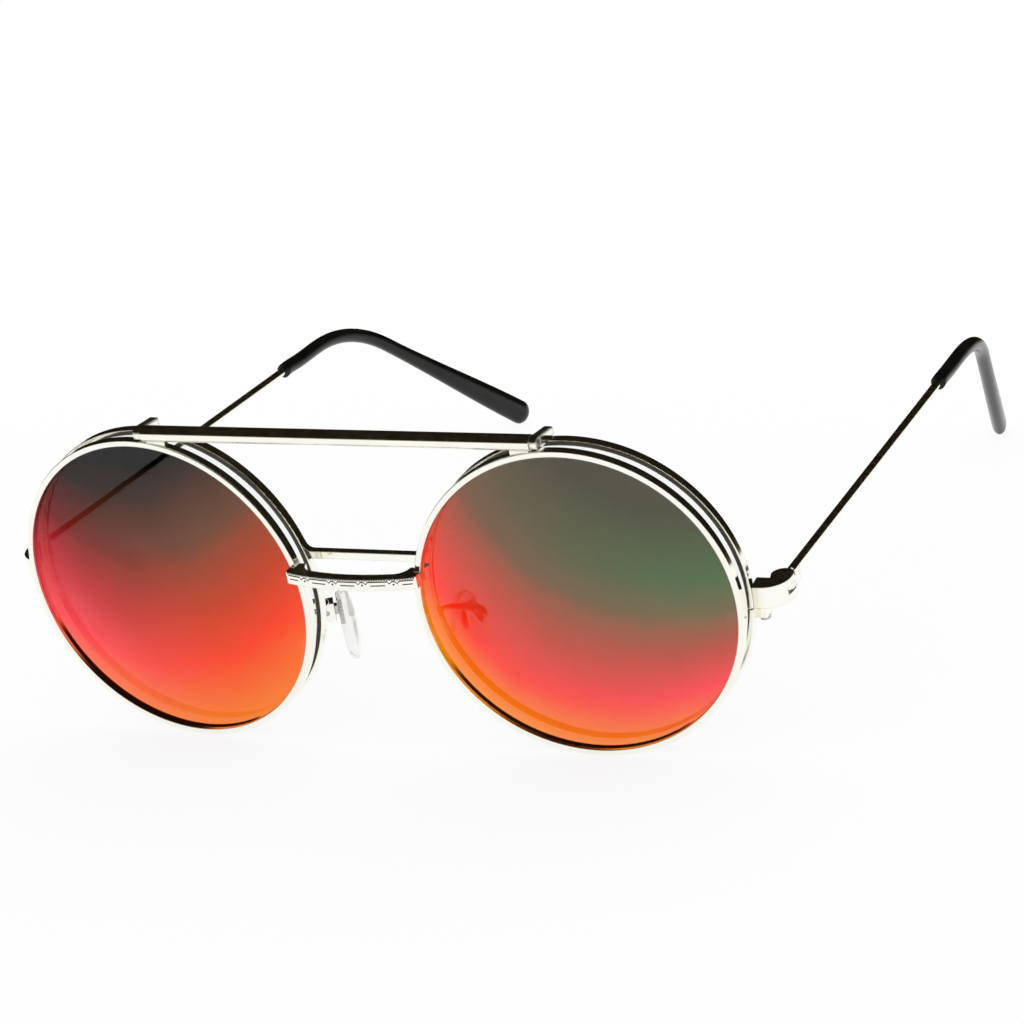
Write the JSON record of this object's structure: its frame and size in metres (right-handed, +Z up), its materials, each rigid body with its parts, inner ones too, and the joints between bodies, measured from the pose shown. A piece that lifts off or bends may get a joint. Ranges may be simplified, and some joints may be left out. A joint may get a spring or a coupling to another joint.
{
  "type": "flip up sunglasses",
  "caption": "Round wire-frame spectacles with a brow tube hinge that swings a mirrored lens front up, folding temples and rocking nose pads.",
  "frame": {"origin": "on the table plane, in the middle of the footprint of the open pair standing on its rims and temple tips", "axes": "+X to the right as seen from the front, +Y back along the temples to the wearer, +Z up"},
  "size_m": [0.1272, 0.1481, 0.0519],
  "materials": {
    "polished_metal": "bright polished silver metal with a slight warm tint",
    "steel": "plain steel screws, stems and rod",
    "mirror_lens": "mirror coating running from grey at the top through red to orange at the bottom",
    "clear_lens": "clear lens",
    "black_tip": "glossy black",
    "clear_pad": "clear soft plastic",
    "bush_plastic": "natural plastic"
  },
  "bodies": {
    "rear_frame": {"rear_rim_left": "polished_metal", "rear_rim_right": "polished_metal", "rear_lens_left": "clear_lens", "rear_lens_right": "clear_lens", "end_piece_left": "polished_metal", "end_piece_right": "polished_metal", "rim_lock_left": "polished_metal", "rim_lock_right": "polished_metal", "rim_lock_screw_left": "steel", "rim_lock_screw_right": "steel", "hinge_screw_left": "steel", "hinge_screw_right": "steel", "flip_ear_left": "polished_metal", "flip_ear_right": "polished_metal", "pad_arm_left": "polished_metal", "pad_arm_right": "polished_metal", "pad_box_left": "polished_metal", "pad_box_right": "polished_metal", "pad_screw_left": "steel", "pad_screw_right": "steel", "rear_bridge": "polished_metal", "pivot_rod": "steel"},
    "flip_front": {"front_rim_left": "polished_metal", "front_rim_right": "polished_metal", "front_lens_left": "mirror_lens", "front_lens_right": "mirror_lens", "tube_saddle_left": "polished_metal", "tube_saddle_right": "polished_metal", "friction_bush_left": "bush_plastic", "friction_bush_right": "bush_plastic", "front_bridge": "polished_metal", "brow_tube": "polished_metal"},
    "temple_arm_left": {"temple_left": "polished_metal", "temple_tip_left": "black_tip"},
    "temple_arm_right": {"temple_right": "polished_metal", "temple_tip_right": "black_tip"},
    "rocking_pad_left": {"nose_pad_left": "clear_pad", "pad_core_left": "steel"},
    "rocking_pad_right": {"nose_pad_right": "clear_pad", "pad_core_right": "steel"}
  },
  "joints": [
    {"name": "flip_up", "type": "hinge", "parent": "rear_frame", "child": "flip_front", "pos_m": [0, -0.0712, 0.05069], "axis": [-1, 0, 0], "range_deg": [0, 100]},
    {"name": "temple_fold_right", "type": "hinge", "parent": "rear_frame", "child": "temple_arm_right", "pos_m": [0.06185, -0.05799, 0.02509], "axis": [0, -0.1253, 0.9921], "range_deg": [0, 81]},
    {"name": "temple_fold_left", "type": "hinge", "parent": "rear_frame", "child": "temple_arm_left", "pos_m": [-0.06185, -0.05799, 0.02509], "axis": [0, 0.1253, -0.9921], "range_deg": [0, 77]},
    {"name": "pad_rock_right", "type": "hinge", "parent": "rear_frame", "child": "rocking_pad_right", "pos_m": [0.01262, -0.05924, 0.01858], "axis": [0.4848, 0.8677, 0.1096], "range_deg": [-8, 8]},
    {"name": "pad_rock_left", "type": "hinge", "parent": "rear_frame", "child": "rocking_pad_left", "pos_m": [-0.01262, -0.05924, 0.01858], "axis": [0.4848, -0.8677, -0.1096], "range_deg": [-8, 8]}
  ]
}
